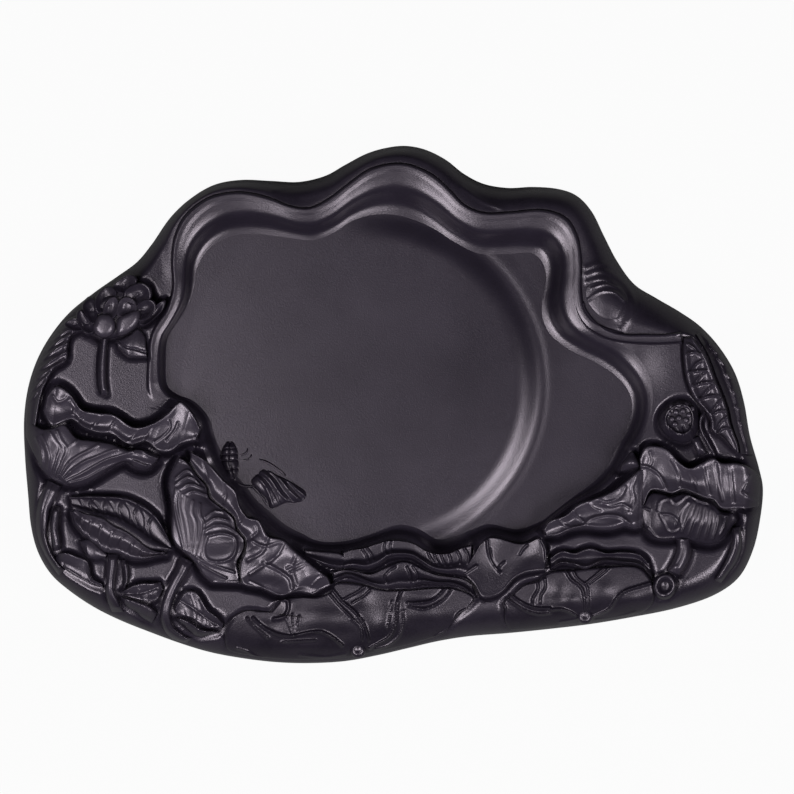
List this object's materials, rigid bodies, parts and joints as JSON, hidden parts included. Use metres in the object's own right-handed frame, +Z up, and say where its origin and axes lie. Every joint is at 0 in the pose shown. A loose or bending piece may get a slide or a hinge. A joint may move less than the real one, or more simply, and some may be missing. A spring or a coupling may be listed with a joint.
{
  "type": "ink stone",
  "caption": "Carved ink stone with a lobed basin, a round grinding face, a crescent ink pool and a lotus pond in relief round it.",
  "frame": {"origin": "middle of the underside, under the centre of the stone's outline", "axes": "+X to the right along the longest side, +Y to the back, +Z up through the thickness"},
  "size_m": [0.3002, 0.21, 0.0365],
  "materials": {
    "basin_stone": "satin",
    "carved_stone": "satin"
  },
  "bodies": {
    "root": {"basin_petal": "carved_stone", "basin_rim": "basin_stone", "centre_leaf_back": "carved_stone", "centre_leaf_front": "carved_stone", "centre_leaf_stem": "carved_stone", "crumpled_leaf": "carved_stone", "curled_bud": "carved_stone", "fallen_petal": "carved_stone", "flower_stem": "carved_stone", "front_left_leaf": "carved_stone", "front_left_leaf_hub": "carved_stone", "front_lower_ruffle": "carved_stone", "front_right_leaf": "carved_stone", "front_right_leaf_hub": "carved_stone", "front_right_ruffle": "carved_stone", "front_upper_ruffle": "carved_stone", "grinding_face": "basin_stone", "inner_petals": "carved_stone", "left_edge_leaf": "carved_stone", "left_leaf_back": "carved_stone", "left_leaf_front": "carved_stone", "left_leaf_stem": "carved_stone", "lower_leaf_back": "carved_stone", "lower_leaf_front": "carved_stone", "lower_leaf_side_stem": "carved_stone", "lower_leaf_stem": "carved_stone", "outer_petals": "carved_stone", "outer_right_stem": "carved_stone", "panel_leaf": "carved_stone", "pod_seeds": "carved_stone", "pod_stem": "carved_stone", "pond_insect": "carved_stone", "pond_reed": "carved_stone", "pond_shrimp": "carved_stone", "rear_leaf": "carved_stone", "right_edge_leaf_inner": "carved_stone", "right_edge_leaf_outer": "carved_stone", "right_leaf_back": "carved_stone", "right_leaf_shell": "carved_stone", "right_leaf_stem": "carved_stone", "right_leaf_wing": "carved_stone", "rolled_leaf_tip": "carved_stone", "seed_pod": "carved_stone", "small_leaf_left": "carved_stone", "small_leaf_right": "carved_stone", "stone_block": "basin_stone"}
  },
  "joints": []
}
